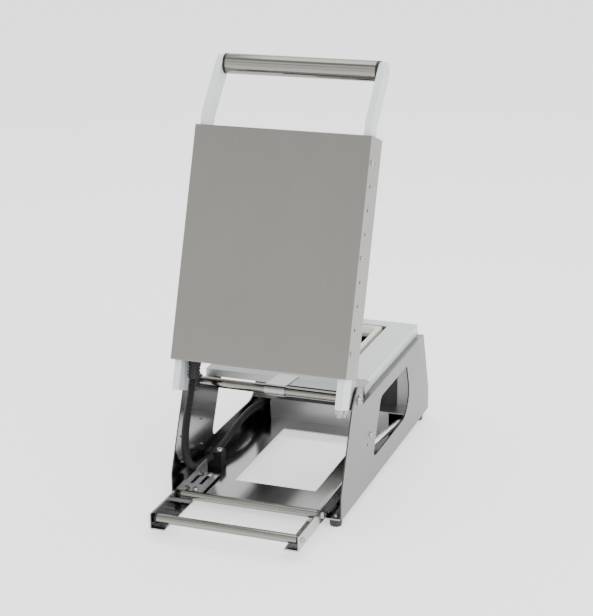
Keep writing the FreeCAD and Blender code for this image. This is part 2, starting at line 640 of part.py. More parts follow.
def strip(start, end, half):
    """The four corners of a straight bar between two points, given its half width."""
    length = f"sqrt(({end[0]} - ({start[0]}))^2 + ({end[1]} - ({start[1]}))^2)"
    side_a = f"(({start[1]}) - ({end[1]})) / {length} * {half}"
    side_b = f"(({end[0]}) - ({start[0]})) / {length} * {half}"
    return [(f"{start[0]} + {side_a}", f"{start[1]} + {side_b}"),
            (f"{end[0]} + {side_a}", f"{end[1]} + {side_b}"),
            (f"{end[0]} - {side_a}", f"{end[1]} - {side_b}"),
            (f"{start[0]} - {side_a}", f"{start[1]} - {side_b}")]


# ---- head ------------------------------------------------------------------------------------------------

def arms():
    """The two painted arms that carry the head, from the tail behind the hinge to the handle."""
    for name, side in SIDES.items():
        body = new_body(f"head_arm_{name}")
        start = "arm_inner" if side > 0 else "-arm_outer"
        thick = "arm_outer - arm_inner"
        back_a, back_b = "-(grip_far + arm_round * sin(arm_slope))", "grip_rise + arm_round * cos(arm_slope)"
        low_a, low_b = "-(grip_far - arm_round * sin(arm_slope))", "grip_rise - arm_round * cos(arm_slope)"
        outline = sketch_on(body, "YZ_Plane", start)
        polygon(outline, [("arm_tail", "tail_low"), ("arm_tail", "arm_high"), ("-arm_knee", "arm_high"),
                          (back_a, back_b), (low_a, low_b), ("-(arm_knee - knee_step)", "arm_low"),
                          ("-tail_upper", "arm_low"),
                          ("-tail_lower", "tail_low")])
        pad(body, outline, thick)
        end = sketch_on(body, "YZ_Plane", start)
        circle(end, "-grip_far", "grip_rise", "arm_round")
        pad(body, end, thick)
        holes = sketch_on(body, "YZ_Plane", start)
        circle(holes, "-grip_far", "grip_rise", "grip_hole")
        for index in range(9):
            circle(holes, f"-(hole_first - {index} * hole_step)", "hole_rise", "side_screw")
        pocket(body, holes, thick)
        if name == "left":
            bores = sketch_on(body, "XZ_Plane", "-arm_tail")
            for rise in ("tail_bolt_low", "tail_bolt_high"):
                circle(bores, "-tail_bolt_x", rise, "bolt_radius")
            pocket(body, bores, "tail_bolt_in")
        on_head(body)


def tail_bolts():
    """Two hexagon bolts in the tail of the left arm."""
    bolts = []
    for rise in ("tail_bolt_low", "tail_bolt_high"):
        bolts.append(fuse(rod("-tail_bolt_x", "arm_tail - tail_bolt_in", rise, "bolt_radius",
                              "tail_bolt_in + tail_bolt_out", "Y"),
                          hexagon("-tail_bolt_x", "arm_tail", rise, "bolt_across", "bolt_hex", "Y")))
    keep(on_head(group(*bolts)), "tail_bolts")


def handle():
    """The polished cross tube, the black ring at each end and the sunk screws."""
    y, z = "-grip_far", "grip_rise"
    half = "(arm_inner - ring_wide)"
    tube = cut(rod(f"-{half}", y, z, "grip_radius", f"2 * {half}", "X"),
               rod(f"-{half} - overrun", y, z, "grip_radius - tube_wall", f"2 * ({half} + overrun)", "X"))
    keep(on_head(group(tube)), "handle_tube")
    rings, screws = [], []
    for side in SIDES.values():
        outer = half if side > 0 else "-arm_inner"
        stub = f"{half} - cap_deep" if side > 0 else f"-{half}"
        ring = fuse(rod(outer, y, z, "grip_radius", "ring_wide", "X"),
                    rod(stub, y, z, "grip_radius - tube_wall - running", "cap_deep", "X"))
        bore = "arm_inner - grip_screw_in" if side > 0 else "-arm_inner"
        rings.append(cut(ring, rod(bore, y, z, "grip_bore", "grip_screw_in", "X")))
        far = "-(arm_inner + grip_sunk + grip_head_high)"
        head = "arm_inner + grip_sunk" if side > 0 else far
        shank = "arm_inner - grip_screw_in" if side > 0 else "-(arm_inner + grip_sunk)"
        socket = "arm_inner + grip_sunk + grip_head_high / 2" if side > 0 else far
        screws.append(fuse(cut(rod(head, y, z, "grip_head", "grip_head_high", "X"),
                               hexagon(socket, y, z, "grip_socket", "grip_head_high / 2", "X")),
                           rod(shank, y, z, "grip_screw", "grip_screw_in + grip_sunk", "X")))
    keep(on_head(group(*rings)), "handle_rings")
    keep(on_head(group(*screws)), "handle_screws")


def cover():
    """The folded cover over the heating head, its screws and the spacers that hold it off the arms."""
    low, lip = "cover_rise - cover_deep", "arm_high"
    body = new_body("head_cover")
    block = sketch_on(body, "XY_Plane", low)
    oblong(block, "-cover_half", "-cover_far", "cover_half", "-cover_near")
    pad(body, block, "cover_deep")
    rounded(body, [("-cover_near", "cover_rise"), ("-cover_far", "cover_rise")], "cover_bend", "X")
    inner = sketch_on(body, "XY_Plane", low)
    oblong(inner, "-(cover_half - cover_sheet)", "-(cover_far - cover_sheet)", "cover_half - cover_sheet",
           "-(cover_near + cover_sheet)")
    pocket(body, inner, "cover_deep - cover_sheet")
    for face in ("cover_near", "cover_far - cover_sheet"):
        ends = sketch_on(body, "XZ_Plane", face)
        if face == "cover_near":
            polygon(ends,
                    [("-(cover_half - cover_sheet)", low), ("gland_x - gland_flap", low),
                     ("gland_x - gland_flap", lip),
                           ("-(cover_half - cover_sheet)", lip)])
            oblong(ends, "arm_inner - flap_gap", low, "cover_half - cover_sheet", lip)
            circle(ends, "gland_x", "gland_rise", "gland_hole")
        else:
            oblong(ends, "-(cover_half - cover_sheet)", low, "cover_half - cover_sheet", lip)
        pocket(body, ends, "cover_sheet")
    holes = sketch_on(body, "YZ_Plane", "-cover_half")
    for index in range(9):
        circle(holes, f"-(hole_first - {index} * hole_step)", "hole_rise",
               "side_screw" if index % 4 == 0 else "side_hole")
    pocket(body, holes, "2 * cover_half")
    on_head(body)
    screws, spacers = [], []
    for side in SIDES.values():
        for index in (0, 4, 8):
            y = f"-(hole_first - {index} * hole_step)"
            screws.append(screw(f"{side} * cover_half", y, "hole_rise", "X", side, "side_head",
                                "side_head_high",
                                "side_screw", "side_long"))
            start = "arm_outer" if side > 0 else "-(cover_half - cover_sheet)"
            wide = "cover_half - cover_sheet - arm_outer"
            spacers.append(cut(rod(start, y, "hole_rise", "2 * side_screw", wide, "X"),
                               rod(start, y, "hole_rise", "side_screw", wide, "X")))
    keep(on_head(group(*screws)), "cover_screws")
    keep(on_head(group(*spacers)), "cover_spacers")


def heating():
    """Everything between the arms: frame, sprung sealing plate on its pins, heater mat, knife and board."""
    frame = cut(box("-arm_inner", "-frame_far", "frame_rise", "2 * arm_inner", "frame_far - frame_near",
                    "frame_deep"),
                box("-(arm_inner - sheet)", "-(frame_far - sheet)", "frame_rise + sheet",
                    "2 * (arm_inner - sheet)",
                    "frame_far - frame_near - 2 * sheet", "frame_deep"),
                *[rod(f"{x} * pin_half", f"-{s}", "frame_rise - overrun", "pin_radius + running",
                      "sheet + 2 * overrun")
                  for x in (-1, 1) for s in ("pin_near", "pin_far")])
    keep(on_head(group(frame)), "head_frame")
    plate = box("-plate_half", "-plate_far", "plate_low", "2 * plate_half", "plate_far - plate_near",
                "plate_thick")
    keep(on_head(group(plate)), "sealing_plate")
    top = "plate_low + plate_thick"
    mat = box("-mat_half", "-(plate_far - mat_edge)", top, "2 * mat_half",
              "plate_far - plate_near - 2 * mat_edge", "mat_thick")
    keep(on_head(group(mat)), "heater_mat")
    pins, springs = [], []
    for x in (-1, 1):
        for s in ("pin_near", "pin_far"):
            spot = (f"{x} * pin_half", f"-{s}")
            pins.append(fuse(rod(*spot, top, "pin_radius", f"pin_top - ({top})"),
                             rod(*spot, "frame_rise + sheet + end_play", "collar_radius", "sheet")))
            springs.append(cut(rod(*spot, top, "press_radius", f"frame_rise - ({top})"),
                               rod(*spot, top, "press_bore", f"frame_rise - ({top})")))
    keep(on_head(group(*pins)), "guide_pins")
    keep(on_head(group(*springs)), "plate_springs")
    knife = cut(box("-knife_half", "-knife_far", "knife_low", "2 * knife_half", "knife_far - knife_near",
                    "frame_rise - knife_low"),
                box("-(knife_half - knife_thick)", "-(knife_far - knife_thick)", "knife_low - overrun",
                    "2 * (knife_half - knife_thick)", "knife_far - knife_near - 2 * knife_thick",
                    "frame_rise"))
    keep(on_head(group(knife)), "film_knife")
    board = box("-arm_inner", "-frame_far", "frame_rise + frame_deep", "2 * arm_inner",
                "frame_far - frame_near",
                "board_thick")
    keep(on_head(group(board)), "insulation_board")


# ---- conduit, cables -------------------------------------------------------------------------------------

def gland():
    """The ribbed gland that carries the conduit into the cover."""
    x, z = "gland_x", "gland_rise"
    seat = "-cover_near"
    pieces = [rod(x, seat, z, "gland_radius", "gland_nut", "Y"),
              rod(x, seat, z, "gland_radius - rib_deep", "cover_near - gland_end", "Y"),
              rod(x, f"{seat} - cover_sheet - nut_thick", z, "conduit_radius", "cover_sheet + nut_thick",
                  "Y"),
              hexagon(x, f"{seat} - cover_sheet - nut_thick", z, "nut_across", "nut_thick", "Y")]
    for index in range(3):
        pieces.append(rod(x, f"{seat} + gland_nut + rib_gap + {index} * 2 * rib_wide", z, "gland_radius",
                          "rib_wide", "Y"))
    body = cut(fuse(*pieces), rod(x, "-gland_bottom", z, "conduit_radius", "gland_bottom", "Y"),
               rod(x, "-2 * gland_bottom", z, "gland_bore", "2 * gland_bottom", "Y"))
    keep(on_head(group(body)), "head_gland")


def route(points):
    """A wire of straight runs with a tangent arc at every corner, and its length."""
    edges, at = [], points[0]
    for before, corner, after in zip(points, points[1:], points[2:]):
        run_in, run_out = corner.sub(before), after.sub(corner)
        shorter = min(run_in.Length, run_out.Length)
        turn = run_in.getAngle(run_out)
        radius = 0.45 * shorter / math.tan(turn / 2)
        print(f"bend radius {radius:.1f} mm")
        back = FreeCAD.Vector(run_in).normalize()
        on = FreeCAD.Vector(run_out).normalize()
        start, end = corner - back * (0.45 * shorter), corner + on * (0.45 * shorter)
        middle = corner + (on - back).normalize() * (radius / math.cos(turn / 2) - radius)
        edges += [Part.LineSegment(at, start).toShape(), Part.Arc(start, middle, end).toShape()]
        at = end
    edges.append(Part.LineSegment(at, points[-1]).toShape())
    wire = Part.Wire(edges)
    return wire, wire.Length


def cord(name, points, radius):
    """A round cord along a route, made whole in one sweep."""
    wire, length = route(points)
    first = points[1].sub(points[0]).normalize()
    profile = Part.Wire(Part.makeCircle(radius, points[0], first))
    solid = wire.makePipeShell([profile], True, True)
    gap = abs(solid.Volume / (math.pi * radius ** 2 * length) - 1)
    print(f"{name} length {length:.1f} mm, volume off by {gap * 100:.2f} %")
    if gap > 0.01:
        raise RuntimeError(f"the volume of the {name} does not match its length")
    item = doc.addObject("Part::Feature", name)
    item.Shape = solid
    return item


def conduit():
    """The corrugated conduit from the gland, behind the hinge, down to the clamp on the floor."""
    spots = [("gland_x", None, None), ("106.5", "21.5", "145"), ("112", "18", "112"), ("116", "20", "78"),
             ("117", "28", "46"), ("117", "50", "27"), ("117", "80", "20"),
             ("cable_x", "clamp_in - 0.8", "18")]
    along, rise = "gland_end", "gland_rise"
    mouth = (f"hinge_in + cos(open_angle) * {along} - sin(open_angle) * {rise}",
             f"hinge_up + sin(open_angle) * {along} + cos(open_angle) * {rise}")
    points = []
    for x, depth, height in spots:
        depth, height = (mouth if depth is None else (depth, height))
        points.append(FreeCAD.Vector(number(x), number(inside(depth)), number(above(height))))
    keep(cord("conduit", points, number("conduit_radius")), "head_conduit")


def cables():
    """Two cables that rise in a shallow arch from the clamp to the terminal block."""
    spots = [("clamp_in", "0"), ("165", "1"), ("218", "11"), ("274", "15"), ("330", "8"),
             ("block_in - 0.6", "4")]
    runs = []
    for low in ("cable_low", "cable_high"):
        points = [FreeCAD.Vector(number("cable_x"), number(inside(depth)), number(above(f"{low} + {rise}")))
                  for depth, rise in spots]
        runs.append(cord("cable", points, number("cable_radius")))
    keep(group(*runs), "head_cables")
    terminals = box("terminal_near", inside("block_in + terminal_deep"), above("sheet"), "terminal_wide",
                    "terminal_deep", "terminal_high")
    keep(group(terminals), "base_terminals")


def cable_clamp():
    """The saddle that holds the cables in a notch between two round-topped posts."""
    body = new_body("cable_clamp")
    outline = sketch_on(body, "XZ_Plane", "-(" + inside("clamp_in") + ")")
    near, far = "cable_x - cable_radius - cable_slack", "cable_x + cable_radius + cable_slack"
    floor = above("cable_low - cable_radius - cable_slack")
    polygon(outline, [("clamp_near", above("sheet")), ("clamp_near", above("clamp_high")),
                      (near, above("clamp_high")), (near, floor), (far, floor), (far, above("clamp_high")),
                      ("clamp_far", above("clamp_high")), ("clamp_far", above("sheet"))])
    pad(body, outline, "clamp_out - clamp_in")
    rounded(body, [(x, above("clamp_high")) for x in ("clamp_near", near, far, "clamp_far")], "clamp_round",
            "Y")
    hole = sketch_on(body, "XY_Plane", above("clamp_high / 4"))
    circle(hole, "clamp_near + clamp_screw_in", inside("(clamp_in + clamp_out) / 2"), "axle_radius")
    pocket(body, hole, "3 * clamp_high / 4")
    chassis_screw("clamp_near + clamp_screw_in", inside("(clamp_in + clamp_out) / 2"), above("clamp_high"))


# ---- head balance ----------------------------------------------------------------------------------------

def balance():
    """The rubber stop the lever rests on, and the tension spring from the lever's stud to its floor anchor."""
    x, y, z = "-(width / 2 - sheet)", inside("bumper_in"), above("bumper_up")
    keep(cut(rod(x, y, z, "bumper_radius", "width / 2 - sheet - block_inner", "X"),
             rod(x, y, z, "axle_radius", "screw_long - sheet", "X")),
         "lever_bumper")
    chassis_screw("-width / 2", y, z, "X", -1)
    rear = ("-spring_side", inside("hinge_in - cos(open_angle) * stud_rear + sin(open_angle) * stud_drop"),
            above("hinge_up - sin(open_angle) * stud_rear - cos(open_angle) * stud_drop"))
    front = ("-spring_side", inside("anchor_in"), above("anchor_up"))
    reach = f"sqrt(({rear[1]} - ({front[1]}))^2 + ({rear[2]} - ({front[2]}))^2)"
    tilt = f"atan(({rear[2]} - ({front[2]})) / ({rear[1]} - ({front[1]})))"

    def along(radius, start):
        """A rod on the spring's line that starts and stops so far from its two ends."""
        item = doc.addObject("Part::Cylinder", "along")
        bind(item, Radius=radius, Height=f"{reach} - 2 * {start}")
        return place(item,
                     f"{rear[0]}; {rear[1]} - cos({tilt}) * {start}; {rear[2]} - sin({tilt}) * {start}",
                     "1; 0; 0", f"90 deg + {tilt}")

    eyes = []
    for spot in (rear, front):
        eye = doc.addObject("Part::Torus", "eye")
        bind(eye, Radius1="eye_radius", Radius2="eye_wire")
        eyes.append(place(eye, "; ".join(spot), "0; 1; 0", "90"))
    keep(fuse(along("spring_radius", "eye_neck"), along("eye_wire", "eye_radius"), *eyes), "balance_spring")
    anchor = fuse(box("-(anchor_out + sheet)", inside("anchor_in + anchor_long"), above("sheet"),
                      "anchor_wide",
                      "2 * anchor_long", "sheet"),
                  box("-(anchor_out + sheet)", inside("anchor_in + anchor_long / 2"), above("sheet"),
                      "sheet",
                      "anchor_long", "anchor_up + anchor_above"),
                  rod("-(anchor_out + sheet)", inside("anchor_in"), above("anchor_up"), "anchor_pin",
                      "anchor_wide - sheet",
                      "X"))
    keep(anchor, "spring_anchor")


# ---- film cradle -----------------------------------------------------------------------------------------

def film_rack():
    """Two angle brackets on spacers, and two free rollers on shouldered screws between them."""
    for name, side in SIDES.items():
        outer = "rack_half - rack_thick" if side > 0 else "-rack_half"
        foot = "rack_half - rack_foot" if side > 0 else "-rack_half"
        fold = "rack_half - rack_bend" if side > 0 else "-rack_half"
        y, long = inside("rack_front"), "rack_rear + rack_front"
        web = box(outer, y, above("rack_low"), "rack_thick", long, "rack_high - rack_low")
        flange = box(foot, y, above("rack_low"), "rack_foot", long, "rack_thick")
        x = f"{side} * foot_screw_side"
        tools = [rod(x, inside("foot_screw_near"), above("rack_low - overrun"), "screw_hole",
                     "rack_thick + 2 * overrun"),
                 rod(x, inside("-rack_hole_out"), above("rack_low - overrun"), "rack_hole",
                     "rack_thick + 2 * overrun"),
                 box(f"{x} - slot_half", inside("slot_far"), above("rack_low - overrun"), "2 * slot_half",
                     "slot_far - slot_near", "rack_thick + 2 * overrun"),
                 cut(box(fold, y, above("rack_low"), "rack_bend", long,
                         "rack_bend"),
                     rod(f"{side} * (rack_half - rack_bend)", y, above("rack_low + rack_bend"), "rack_bend",
                         long, "Y"))]
        for depth in ("rear_roller_in", "front_roller_in"):
            tools.append(rod(f"{outer} - overrun", inside(f"-{depth}"), above("roller_up"), "screw_hole",
                             "rack_thick + 2 * overrun", "X"))
        keep(cut(fuse(web, flange), *tools), f"rack_bracket_{name}")
    spacers = []
    for side in SIDES.values():
        for depth in ("foot_screw_near", "foot_screw_far"):
            x, y = f"{side} * foot_screw_side", inside(depth)
            spacers.append(cut(rod(x, y, above("sheet"), "spacer_radius", "spacer_high"),
                               rod(x, y, above("sheet"), "screw_hole", "spacer_high")))
            chassis_screw(x, y, above("rack_low + rack_thick"))
    keep(group(*spacers), "rack_spacers")
    axles = []
    for name in ("rear", "front"):
        y, z = inside(f"-{name}_roller_in"), above("roller_up")
        tube = cut(rod("-roller_half", y, z, "roller_radius", "2 * roller_half", "X"),
                   rod("-roller_half - overrun", y, z, "roller_radius - tube_wall",
                       "2 * (roller_half + overrun)", "X"))
        keep(group(tube), f"{name}_roller")
        caps = []
        for side in SIDES.values():
            outer = "roller_half" if side > 0 else "-(roller_half + cap_wide)"
            stub = "roller_half - cap_deep" if side > 0 else "-roller_half"
            cap = fuse(rod(outer, y, z, "roller_radius", "cap_wide", "X"),
                       rod(stub, y, z, "roller_radius - tube_wall", "cap_deep", "X"))
            bore = "roller_half - cap_deep" if side > 0 else "-(roller_half + cap_wide)"
            caps.append(cut(cap, rod(bore, y, z, "axle_radius + running", "cap_wide + cap_deep", "X")))
            axles.append(screw(f"{side} * rack_half", y, z, "X", side, "screw_head", "axle_head_high",
                               "axle_radius", "axle_long"))
        keep(group(*caps), f"{name}_roller_caps")
    keep(group(*axles), "roller_screws")


# ---- controls, inlet, data plate -------------------------------------------------------------------------

def on_slope(item, x, height):
    """Puts an object drawn about the origin, with +Z outward, on the operator's sloped face."""
    depth = f"panel_depth - front_lean * ({height} - front_low) / (panel_high - front_low)"
    return place(item, f"{x}; {inside(depth)}; {above(height)}", "1; 0; 0",
                 "90 deg - atan(front_lean / (panel_high - front_low))")


def controls():
    """The thermostat and its knob, the rocker switch and two lamps, all on the sloped face."""
    stem = rod("0", "0", "-stem_in", "stem_radius", "stem_in + stem_out")
    body = fuse(box("-thermo_half", "-thermo_half", "-thermo_deep", "2 * thermo_half", "2 * thermo_half",
                    "thermo_deep - folded - thermo_gap"), stem)
    keep(on_slope(group(body), "knob_x", "knob_up"), "thermostat_body")
    knob = cone("0", "0", "folded", "knob_radius", "knob_radius - knob_taper", "knob_high")
    grip = box("-grip_half", "-(knob_radius - grip_half)", "knob_high", "2 * grip_half",
               "2 * (knob_radius - grip_half)",
               "2 * grip_half")
    keep(on_slope(group(cut(fuse(knob, grip),
                            rod("0", "0", "0", "stem_radius + running", "stem_out + switch_gap"))),
                  "knob_x", "knob_up"), "thermostat_knob")
    housing = fuse(box("-(switch_half + bezel_wide)", "-(switch_long + bezel_long)", "0",
                       "2 * (switch_half + bezel_wide)", "2 * (switch_long + bezel_long)", "folded"),
                   box("-switch_half", "-switch_long", "-switch_deep", "2 * switch_half", "2 * switch_long",
                       "switch_deep"))
    well = box("-(rocker_half + switch_gap)", "-(rocker_long + rocker_gap)", "-well_deep",
               "2 * (rocker_half + switch_gap)", "2 * (rocker_long + rocker_gap)", "well_deep + 2 * folded")
    pivot = rod("-(pivot_long + pivot_slack)", "0", "-pivot_deep", "pivot_radius + running",
                "2 * (pivot_long + pivot_slack)", "X")
    keep(on_slope(group(cut(housing, well, pivot)), "switch_x", "switch_up"), "power_switch")
    paddle = box("-rocker_half", "-rocker_long", "-pivot_deep", "2 * rocker_half", "2 * rocker_long",
                 "rocker_high")
    dish = rod("-pivot_long", "0", "rocker_high + rocker_dish - pivot_deep", "dish_radius",
               "2 * pivot_long", "X")
    rocker = fuse(cut(paddle, dish), rod("-pivot_long", "0", "0", "pivot_radius", "2 * pivot_long", "X"))
    place(rocker, "0; 0; -pivot_deep", "1; 0; 0", "-rocker_tilt")
    keep(on_slope(group(rocker), "switch_x", "switch_up"), "switch_rocker")
    lenses = [on_slope(group(fuse(cone("0", "0", "0", "lamp_rim", "lamp_hole", "lamp_high"),
                                  rod("0", "0", "-lamp_deep", "lamp_radius", "lamp_deep"))), x, "lamp_up")
              for x in ("lamp_first", "lamp_second")]
    keep(group(*lenses), "indicator_lamps")


def inlet():
    """The mains inlet low on the right panel with its three pins."""
    y, z = inside("inlet_in + inlet_long"), above("inlet_up - inlet_tall")
    long, tall = "2 * inlet_long", "2 * inlet_tall"
    shell = fuse(box("width / 2 - inlet_deep", y, z, "inlet_deep", long, tall),
                 box("width / 2", f"{y} - inlet_edge", f"{z} - inlet_edge", "inlet_face",
                     f"{long} + 2 * inlet_edge", f"{tall} + 2 * inlet_edge"))
    well = box("width / 2 - inlet_well", f"{y} + inlet_wall", f"{z} + inlet_wall",
               "inlet_well + 2 * inlet_face", f"{long} - 2 * inlet_wall", f"{tall} - 2 * inlet_wall")
    keep(cut(shell, well), "mains_inlet")
    pins = []
    for depth, height in (("blade_apart", "-blade_drop"), ("0", "blade_lift"),
                          ("-blade_apart", "-blade_drop")):
        pins.append(box("width / 2 - inlet_well", inside(f"inlet_in + {depth} + blade_half"),
                        above(f"inlet_up + {height} - blade_tall"), "blade_long", "2 * blade_half",
                        "2 * blade_tall"))
    keep(group(*pins), "inlet_pins")


def data_plate():
    """The blank plate low on the right panel and its four screws."""
    plate = box("width / 2", inside("label_far"), above("label_low"), "label_thick",
                "label_far - label_near",
                "label_high - label_low")
    holes = [rod("width / 2", inside(depth), above(height), "plate_hole", "label_thick", "X") for depth,
             height in PLATE_SCREWS]
    keep(cut(plate, *holes), "data_plate")
    screws = [screw("width / 2 + label_thick", inside(depth), above(height), "X", 1, "2 * plate_screw",
                    "plate_hole",
                    "plate_screw", "plate_long")
              for depth, height in PLATE_SCREWS]
    keep(group(*screws), "plate_screws")


base_plate()
for panel_name, panel_side in SIDES.items():
    side_panel(panel_name, panel_side)
for make in (compartment, front_panel, feet, deck, tray_die, rear_bar, hinge, head_blocks, arms, tail_bolts,
             handle, cover, heating, gland, conduit, cables, cable_clamp, balance, film_rack, controls,
             inlet,
             data_plate):
    make()
keep(group(*chassis_screws), "chassis_screws")
doc.recompute()

for item in doc.Objects:
    if "Invalid" in item.State or "Error" in item.State:
        raise RuntimeError(f"{item.Name} ({item.Label}): {item.State}")
os.makedirs("parts", exist_ok=True)
for part in parts:
    if part.Shape.isNull() or not part.Shape.isValid():
        raise RuntimeError(f"{part.Label} has no valid shape")
    part.Shape.exportStep(f"parts/{part.Label}.step")
print(len(parts), "sub-parts written")
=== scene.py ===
import json
import math

import bmesh
import bpy
from mathutils import Matrix, Vector


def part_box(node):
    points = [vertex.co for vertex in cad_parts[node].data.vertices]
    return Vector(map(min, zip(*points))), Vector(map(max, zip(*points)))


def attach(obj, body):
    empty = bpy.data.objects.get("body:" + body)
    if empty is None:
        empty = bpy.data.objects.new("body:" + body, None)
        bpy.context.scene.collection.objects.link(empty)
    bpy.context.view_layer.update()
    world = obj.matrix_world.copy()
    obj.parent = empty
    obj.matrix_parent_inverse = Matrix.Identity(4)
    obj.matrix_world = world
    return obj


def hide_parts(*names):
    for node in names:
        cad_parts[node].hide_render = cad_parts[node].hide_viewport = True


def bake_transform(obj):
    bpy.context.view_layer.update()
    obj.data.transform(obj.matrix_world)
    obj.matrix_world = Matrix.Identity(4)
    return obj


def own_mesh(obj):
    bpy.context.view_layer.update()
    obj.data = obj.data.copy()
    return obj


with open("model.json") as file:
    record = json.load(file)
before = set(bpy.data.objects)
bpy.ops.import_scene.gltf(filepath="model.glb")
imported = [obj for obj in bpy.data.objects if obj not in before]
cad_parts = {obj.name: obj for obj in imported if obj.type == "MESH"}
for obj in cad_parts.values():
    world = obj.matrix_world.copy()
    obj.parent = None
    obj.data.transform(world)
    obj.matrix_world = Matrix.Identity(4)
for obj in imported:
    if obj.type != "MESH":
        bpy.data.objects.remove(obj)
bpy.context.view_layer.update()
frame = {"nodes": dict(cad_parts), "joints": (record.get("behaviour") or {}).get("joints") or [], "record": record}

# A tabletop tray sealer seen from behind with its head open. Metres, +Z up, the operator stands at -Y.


def joint(name):
    """The frame's facts about a joint."""
    return next(row for row in frame["joints"] if row["name"] == name)


chassis_low, chassis_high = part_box("base_plate")
BACK = round(chassis_high[1], 5)            # the Y of the chassis floor's rear edge, which is the panels' too
FLOOR = round(chassis_low[2], 5)            # the Z of its underside
HINGE = Vector(joint("head_tilt")["pos_m"])
OPEN = math.radians(joint("head_tilt")["range_deg"][1])     # how far the head at rest stands open, from level
FACE_FOOT, FACE_LOW = 460, 36               # the foot of the operator's sloped face, in and up, in mm
FACE_LEAN, FACE_RISE = 36, 104              # how far the face leans back over its rise, in mm
SLOPE = math.atan(FACE_LEAN / FACE_RISE)
DIAL_ACROSS, DIAL_HEIGHT = -55, 88          # the thermostat's place on the sloped face, in mm


def at(x, depth, height):
    """A place in millimetres: across, in from the rear edge and up from the chassis floor's underside."""
    return Vector((x / 1000, BACK - depth / 1000, FLOOR + height / 1000))


def on_head(x, far, rise):
    """A place on the head in millimetres: across, and out and up from the hinge as when it is closed."""
    y, z = -far / 1000, rise / 1000
    back = y * math.cos(OPEN) + z * math.sin(OPEN)
    up = -y * math.sin(OPEN) + z * math.cos(OPEN)
    return HINGE + Vector((x / 1000, back, up))


def on_slope(x, height):
    """The frame of a place on the operator's sloped face, with Z outward."""
    depth = FACE_FOOT - FACE_LEAN * (height - FACE_LOW) / FACE_RISE
    return Matrix.Translation(at(x, depth, height)) @ Matrix.Rotation(math.pi / 2 - SLOPE, 4, "X")


# ---- materials -------------------------------------------------------------------------------------------

FINE_SHARE, BROAD_SHARE = 0.6, 0.4          # how much of each noise goes into colour and roughness
FINE_DETAIL, BROAD_DETAIL, BROAD_SCALE = 4, 2, 9
NOISE_LOW, NOISE_HIGH = 0.3, 0.7            # the part of the noise's range that is used
SMOOTHEST = 0.02                            # the least roughness
RELIEF_DEPTH = 0.0002
INNER_FACE = 0.1279                         # just inside the side panels' inner faces, from the middle
EDGE_FACING = 0.6                           # a dark cut edge faces across less than this
EDGE_UP = 0.5                               # and up less than this

BRUSHED_ALONG_X = (12, 900, 900)
BRUSHED_ALONG_HEAD = (1400, 14, 14)
BRUSHED_ALONG_Y = (900, 14, 900)
TURNED = (60, 900, 900)
LOOKS = {}


def noise(nodes, scale, detail):
    """Adds a noise texture node."""
    node = nodes.new("ShaderNodeTexNoise")
    node.inputs["Scale"].default_value = scale
    node.inputs["Detail"].default_value = detail
    return node


def finish(name, colour, rough, metallic, grain, shade, uneven, bump, **constants):
    """A shader whose colour, roughness and relief vary with noise stretched along the grain."""
    material = bpy.data.materials.new(name)
    material.use_nodes = True
    nodes, links = material.node_tree.nodes, material.node_tree.links
    shader = nodes["Principled BSDF"]
    shader.inputs["Metallic"].default_value = metallic
    for socket, value in constants.items():
        shader.inputs[socket.replace("_", " ")].default_value = value
    where = nodes.new("ShaderNodeTexCoord")
    stretch = nodes.new("ShaderNodeMapping")
    stretch.inputs["Scale"].default_value = grain
    links.new(where.outputs["Object"], stretch.inputs["Vector"])
    fine = noise(nodes, 1, FINE_DETAIL)
    links.new(stretch.outputs["Vector"], fine.inputs["Vector"])
    broad = noise(nodes, BROAD_SCALE, BROAD_DETAIL)
    links.new(where.outputs["Object"], broad.inputs["Vector"])
    both = nodes.new("ShaderNodeMath")
    both.operation = "MULTIPLY_ADD"
    both.inputs[1].default_value = FINE_SHARE
    links.new(fine.outputs["Fac"], both.inputs[0])
    share = nodes.new("ShaderNodeMath")
    share.operation = "MULTIPLY"
    share.inputs[1].default_value = BROAD_SHARE
    links.new(broad.outputs["Fac"], share.inputs[0])
    links.new(share.outputs["Value"], both.inputs[2])
    ramp = nodes.new("ShaderNodeValToRGB")
    ends = zip(ramp.color_ramp.elements, (NOISE_LOW, NOISE_HIGH), (1 - shade, 1 + shade))
    for element, place, factor in ends:
        element.position = place
        element.color = (*[min(1, c * factor) for c in colour], 1)
    links.new(both.outputs["Value"], ramp.inputs["Fac"])
    links.new(ramp.outputs["Color"], shader.inputs["Base Color"])
    spread = nodes.new("ShaderNodeMapRange")
    spread.inputs["From Min"].default_value = NOISE_LOW
    spread.inputs["From Max"].default_value = NOISE_HIGH
    spread.inputs["To Min"].default_value = max(SMOOTHEST, rough - uneven)
    spread.inputs["To Max"].default_value = min(1, rough + uneven)
    links.new(both.outputs["Value"], spread.inputs["Value"])
    links.new(spread.outputs["Result"], shader.inputs["Roughness"])
    relief = nodes.new("ShaderNodeBump")
    relief.inputs["Strength"].default_value = bump
    relief.inputs["Distance"].default_value = RELIEF_DEPTH
    links.new(fine.outputs["Fac"], relief.inputs["Height"])
    links.new(relief.outputs["Normal"], shader.inputs["Normal"])
    return material


def metal(name, colour, rough, grain, shade, uneven, bump):
    """Adds a metal, with the scale of its grain along X, Y and Z."""
    LOOKS[name] = finish(name, colour, rough, 1.0, grain, shade, uneven, bump)


def plain(name, colour, rough, scale, shade, uneven, bump, **constants):
    """Adds a paint, plastic, rubber or board with an even grain."""
    LOOKS[name] = finish(name, colour, rough, 0.0, (scale, scale, scale), shade, uneven, bump, **constants)


